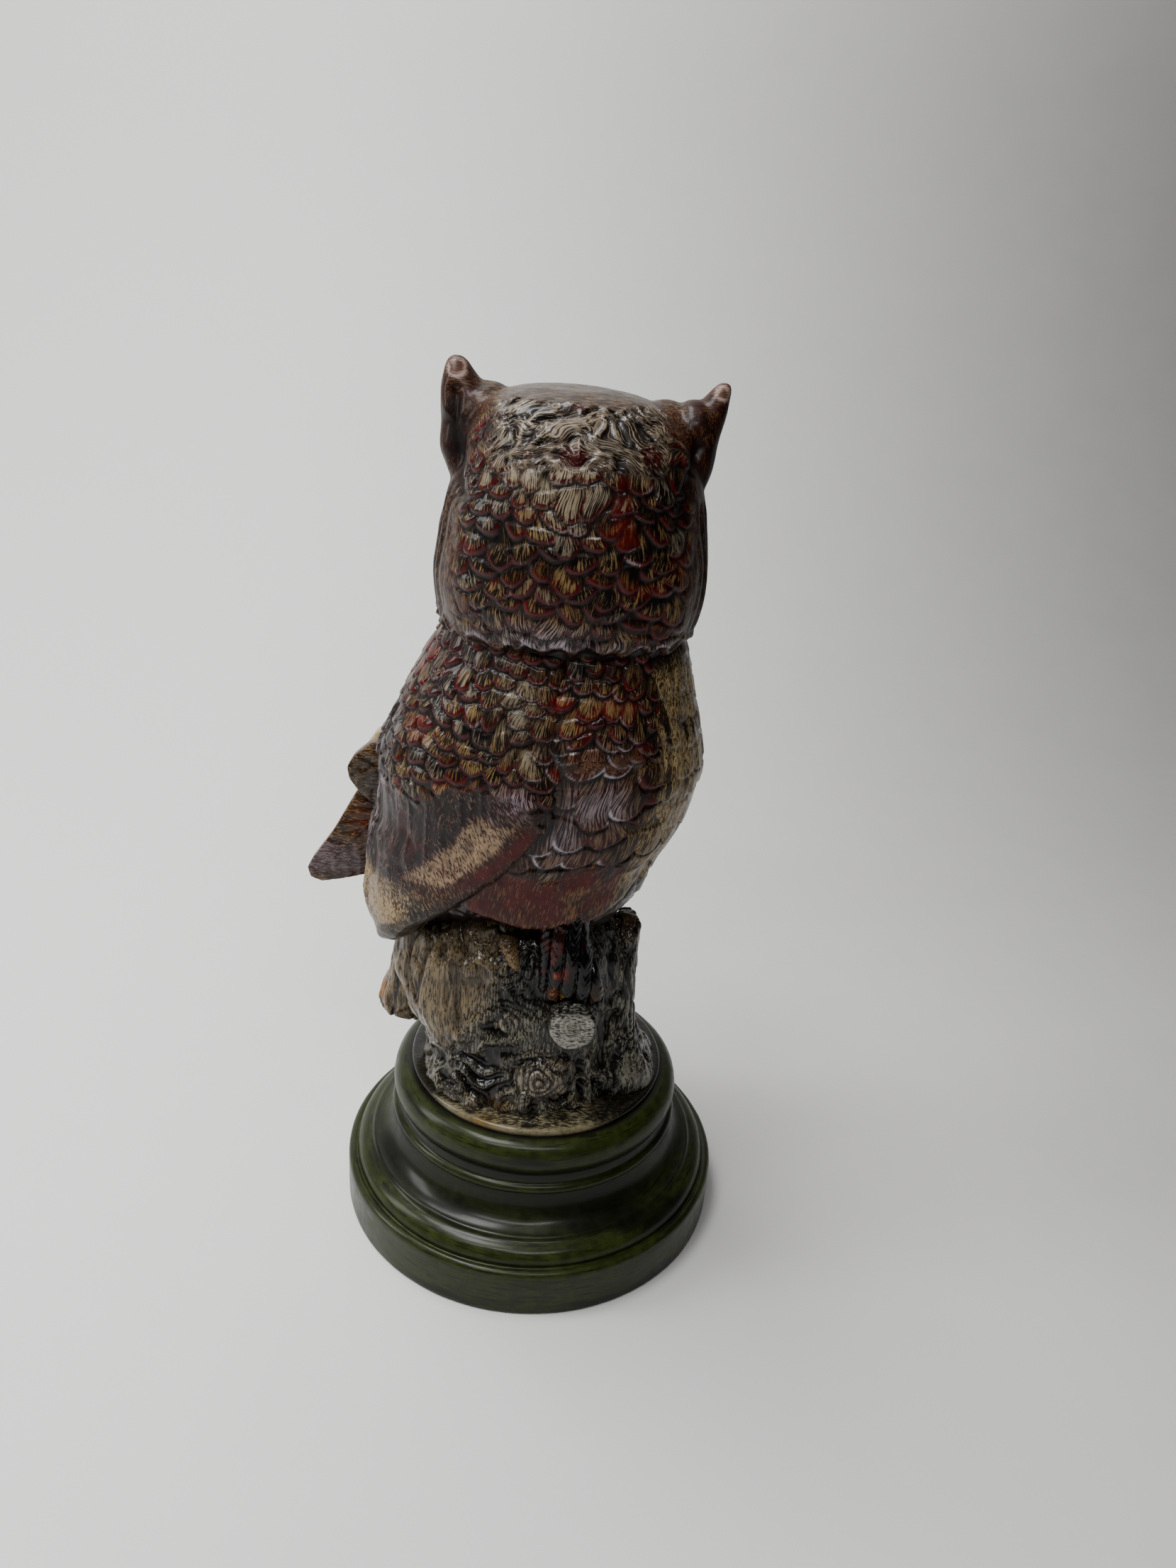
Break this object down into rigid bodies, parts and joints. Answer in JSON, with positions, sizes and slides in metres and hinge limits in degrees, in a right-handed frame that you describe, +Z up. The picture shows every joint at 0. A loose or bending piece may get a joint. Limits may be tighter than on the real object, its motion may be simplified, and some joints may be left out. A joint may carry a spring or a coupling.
{
  "type": "owl figurine",
  "caption": "Painted ceramic owl perched on a bark-covered tree stump with oak leaves at its side, on a round moulded olive-green plinth.",
  "frame": {"origin": "centre of the plinth's foot ring, on the surface it stands on", "axes": "+Z up; the owl faces -Y, its back is towards +Y and its left wing and the leaves are towards +X"},
  "size_m": [0.1535, 0.14, 0.3018],
  "materials": {
    "green_glaze": "dark olive green glaze, satin gloss, black shading rubbed into the mouldings",
    "ground_paint": "cream and brown paint with fine brush lines under clear gloss",
    "bark_paint": "grey and black streaked bark, antiqued paint under clear gloss",
    "bark_tan": "tan streaked bark with ochre at the broken tip",
    "cut_wood": "whitish grey sawn end with rings",
    "breast_cream": "cream and tan dry-brushed feathers under clear gloss",
    "wing_left_paint": "maroon and tan dry-brushed feathers, mauve below, under clear gloss",
    "wing_right_paint": "maroon, tan and lilac dry-brushed feathers under clear gloss",
    "tail_paint": "glossy black-brown with red and ochre tips",
    "claw_paint": "tan horn under clear gloss",
    "foot_paint": "ochre and brown scales under clear gloss",
    "head_paint": "tan strokes on maroon scalloped feathers under clear gloss",
    "ear_paint": "warm brown with dark hollows under clear gloss",
    "face_paint": "cream and tan fine feather lines under clear gloss",
    "eye_glaze": "amber with a black pupil, high gloss",
    "beak_glaze": "dark horn, gloss",
    "leaf_paint": "brown with mauve-white sheen under clear gloss",
    "leaf_pale_paint": "pale beige under clear gloss"
  },
  "bodies": {
    "root": {"plinth": "green_glaze", "ground_disc": "ground_paint", "stump": "bark_paint", "trunk_spur": "bark_paint", "broken_branch": "bark_tan", "branch_stub": "cut_wood", "root_knot": "bark_paint", "side_knot": "bark_paint", "body": "breast_cream", "wing_left": "wing_left_paint", "wing_right": "wing_right_paint", "tail": "tail_paint", "hind_claw": "claw_paint", "foot_left": "foot_paint", "foot_right": "foot_paint", "head": "head_paint", "ear_left": "ear_paint", "ear_right": "ear_paint", "facial_disc": "face_paint", "eye_left": "eye_glaze", "eye_right": "eye_glaze", "beak": "beak_glaze", "leaf_upper": "leaf_paint", "leaf_lower": "leaf_paint", "leaf_back": "leaf_pale_paint"}
  },
  "joints": []
}
